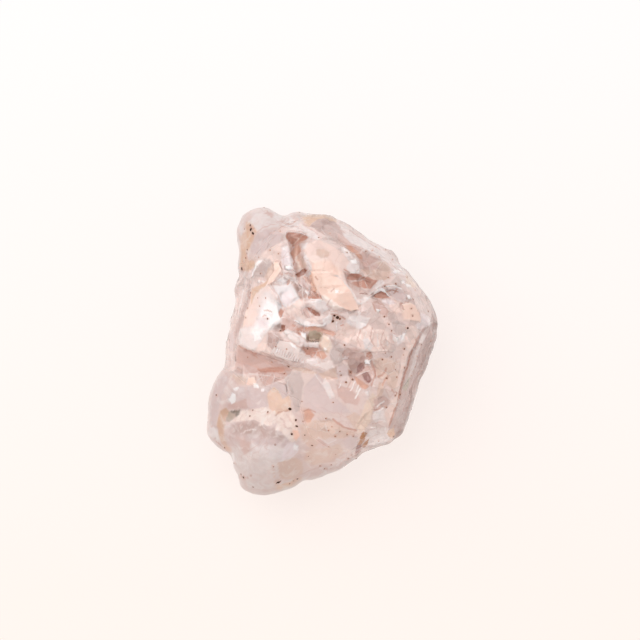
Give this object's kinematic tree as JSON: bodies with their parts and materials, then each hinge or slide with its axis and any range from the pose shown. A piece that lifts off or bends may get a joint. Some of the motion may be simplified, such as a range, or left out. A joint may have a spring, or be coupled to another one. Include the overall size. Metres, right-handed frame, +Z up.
{
  "type": "rough morganite crystal",
  "caption": "Rough pink beryl crystal with broken facets, a stepped ledge, brown clefts and a milky rounded end, lying on a flat cleavage face.",
  "frame": {"origin": "on the flat resting face, under the middle of the stone's outline seen from above", "axes": "+Z up, out of the side that the picture shows; +Y along the stone's longest extent, towards the end with the small rounded knob; +X towards the dark prism face"},
  "size_m": [0.0152, 0.019, 0.0117],
  "materials": {
    "morganite": "translucent pale pink crystal, glassy where it is cleaved and milky where it is etched"
  },
  "bodies": {
    "root": {"morganite_crystal": "morganite"}
  },
  "joints": []
}
